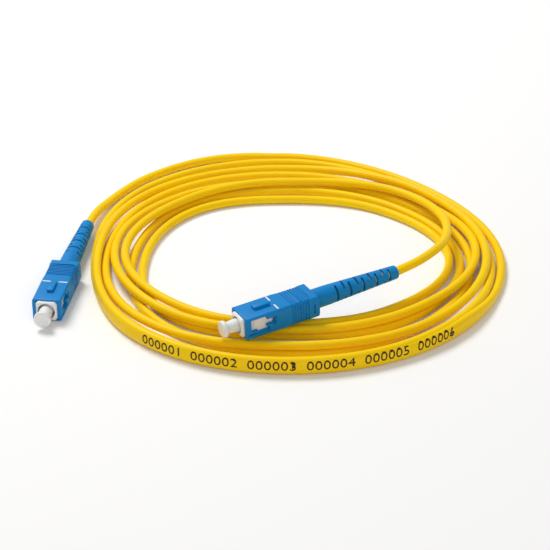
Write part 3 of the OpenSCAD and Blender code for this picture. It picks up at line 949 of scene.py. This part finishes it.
class CORD_OT_insides(PatchCordOperator):
    """Finish the pieces inside the plugs, whose shapes are the frame's own"""
    bl_idname = "patchcord.insides"
    bl_label = "Inner pieces"

    finishes = {"ferrule": "zirconia", "ferrule_flange": "nickel_plate",
                "ferrule_spring": "spring_wire", "stop_ring": "nickel_plate",
                "throat_tube": "guide_tube", "buffered_fibre": "buffer",
                "aramid_yarn": "aramid_fibres", "crimp_sleeve": "nickel_plate"}

    def execute(self, context):
        for node, finish in self.finishes.items():
            for letter in "ab":
                obj = frame["nodes"][node + "_" + letter]
                obj.data.materials.clear()
                obj.data.materials.append(bpy.data.materials[finish])
                shade(obj, 35)
        return {"FINISHED"}


class CORD_OT_materials(PatchCordOperator):
    """Make the finishes"""
    bl_idname = "patchcord.materials"
    bl_label = "Finishes"

    def execute(self, context):
        scene = context.scene
        moulded_group()
        moulded_plastic("grip_blue", scene.patch_grip.colour, gloss=(0.38, 0.46), specular=0.2)
        moulded_plastic("boot_blue", scene.patch_boot.colour, gloss=(0.45, 0.55), specular=0.2)
        moulded_plastic("mark_white", scene.patch_grip.mark_colour, gloss=(0.5, 0.6), specular=0.3)
        moulded_plastic("frame_white", scene.patch_frame.colour, deep=0.96, gloss=(0.3, 0.4),
                        subsurface=0.15, subsurface_depth=0.8 * MM)
        moulded_plastic("cap_milky", scene.patch_frame.cap_colour, deep=0.96, gloss=(0.35, 0.45),
                        subsurface=0.3, subsurface_depth=1.2 * MM)
        moulded_plastic("print_ink", scene.patch_cable.ink, gloss=(0.5, 0.6), specular=0.2)
        moulded_plastic("zirconia", (0.9, 0.89, 0.85), gloss=(0.05, 0.1), specular=0.6)
        moulded_plastic("guide_tube", (0.85, 0.86, 0.87), gloss=(0.3, 0.4))
        moulded_plastic("buffer", (0.9, 0.86, 0.7), gloss=(0.35, 0.45))
        metal_material("nickel_plate", (0.75, 0.74, 0.7))
        metal_material("spring_wire", (0.62, 0.63, 0.65))
        yarn_material((0.83, 0.66, 0.2))
        return {"FINISHED"}


class CORD_OT_stage(PatchCordOperator):
    """Lay a pale floor, hang soft lamps and set the camera"""
    bl_idname = "patchcord.stage"
    bl_label = "Stage"

    aim = Vector((18.1, 11.9, 0)) * MM
    camera_distance = 0.6
    camera_elevation = math.radians(30.2716)
    # Where each lamp hangs and how wide it is, in metres
    key_place, key_size = (-0.35, 0.45, 0.9), 0.5
    fill_place, fill_size = (0.25, -0.8, 0.5), 0.6
    key_colour = (1, 0.99, 0.97)
    # Light of the floor itself, for camera, glossy and transmission rays only
    floor_glow = 0.04

    def floor(self, stage):
        deselect()
        bpy.ops.mesh.primitive_plane_add(size=6, location=(0, 0, 0))
        obj = bpy.context.object
        obj.name = "floor"
        material, shader = principled("floor_white", specular=0.0)
        shader.inputs["Base Color"].default_value = tuple(stage.floor) + (1,)
        shader.inputs["Roughness"].default_value = 0.9
        tree = material.node_tree
        rays = tree.nodes.new("ShaderNodeLightPath").outputs
        seen = add_math(tree, "MAXIMUM", rays["Is Camera Ray"], rays["Is Glossy Ray"])
        seen = add_math(tree, "MAXIMUM", seen, rays["Is Transmission Ray"])
        glow = add_math(tree, "MULTIPLY", seen, self.floor_glow)
        shader.inputs["Emission Color"].default_value = (1, 1, 1, 1)
        tree.links.new(glow, shader.inputs["Emission Strength"])
        obj.data.materials.append(material)

    def world(self, stage):
        world = bpy.data.worlds.new("soft_room")
        world.use_nodes = True
        bpy.context.scene.world = world
        tree = world.node_tree
        background = tree.nodes["Background"]
        rays = tree.nodes.new("ShaderNodeLightPath").outputs
        seen = add_math(tree, "MAXIMUM", rays["Is Camera Ray"], rays["Is Transmission Ray"])
        strength = add_remap(tree, seen, 0.0, 1.0, stage.sky, 1.0)
        tree.links.new(strength, background.inputs["Strength"])
        background.inputs["Color"].default_value = (1, 1, 1, 1)

    def lamp(self, name, place, size, power, colour=(1, 1, 1)):
        deselect()
        place = Vector(place)
        bpy.ops.object.light_add(type="AREA", location=place)
        obj = bpy.context.object
        obj.name = name
        obj.rotation_euler = (self.aim - place).to_track_quat("-Z", "Y").to_euler()
        obj.data.shape = "DISK"
        obj.data.size = size
        obj.data.energy = power
        obj.data.color = colour

    def camera(self, stage):
        deselect()
        away = Vector((0, -math.cos(self.camera_elevation), math.sin(self.camera_elevation)))
        bpy.ops.object.camera_add(location=self.aim + self.camera_distance * away)
        obj = bpy.context.object
        obj.name = "camera"
        obj.rotation_euler = (-away).to_track_quat("-Z", "Y").to_euler()
        obj.data.lens = stage.lens
        obj.data.sensor_width = 36
        obj.data.clip_start = 0.01
        bpy.context.scene.camera = obj

    def execute(self, context):
        stage = context.scene.patch_stage
        context.scene.view_settings.view_transform = "Standard"
        self.floor(stage)
        self.world(stage)
        self.lamp("key", self.key_place, self.key_size, stage.key, self.key_colour)
        self.lamp("fill", self.fill_place, self.fill_size, stage.fill)
        self.camera(stage)
        return {"FINISHED"}


# ---------------------------------------------------------------- panel and registration

class CORD_PT_panel(bpy.types.Panel):
    """Steps that dress the patch cord, in order"""
    bl_label = "Patch cord"
    bl_idname = "CORD_PT_panel"
    bl_space_type = "VIEW_3D"
    bl_region_type = "UI"
    bl_category = "Patch cord"

    def draw(self, context):
        for step in STEPS:
            self.layout.operator(step.bl_idname)


STEPS = (CORD_OT_materials, CORD_OT_stage, CORD_OT_cable, CORD_OT_numbers, CORD_OT_grips,
         CORD_OT_frames, CORD_OT_caps, CORD_OT_boots, CORD_OT_insides)
SETTINGS = {"patch_cable": CableSettings, "patch_grip": GripSettings, "patch_frame": FrameSettings,
            "patch_boot": BootSettings, "patch_stage": StageSettings}


def register():
    for group in SETTINGS.values():
        bpy.utils.register_class(group)
    for name, group in SETTINGS.items():
        setattr(bpy.types.Scene, name, PointerProperty(type=group))
    for step in STEPS:
        bpy.utils.register_class(step)
    bpy.utils.register_class(CORD_PT_panel)


def unregister():
    bpy.utils.unregister_class(CORD_PT_panel)
    for step in reversed(STEPS):
        bpy.utils.unregister_class(step)
    for name, group in SETTINGS.items():
        delattr(bpy.types.Scene, name)
        bpy.utils.unregister_class(group)


def main():
    register()
    bpy.ops.patchcord.materials()
    bpy.ops.patchcord.stage()
    bpy.ops.patchcord.cable()
    bpy.ops.patchcord.numbers()
    bpy.ops.patchcord.grips()
    bpy.ops.patchcord.frames()
    bpy.ops.patchcord.caps()
    bpy.ops.patchcord.boots()
    bpy.ops.patchcord.insides()


if __name__ == "__main__":
    main()
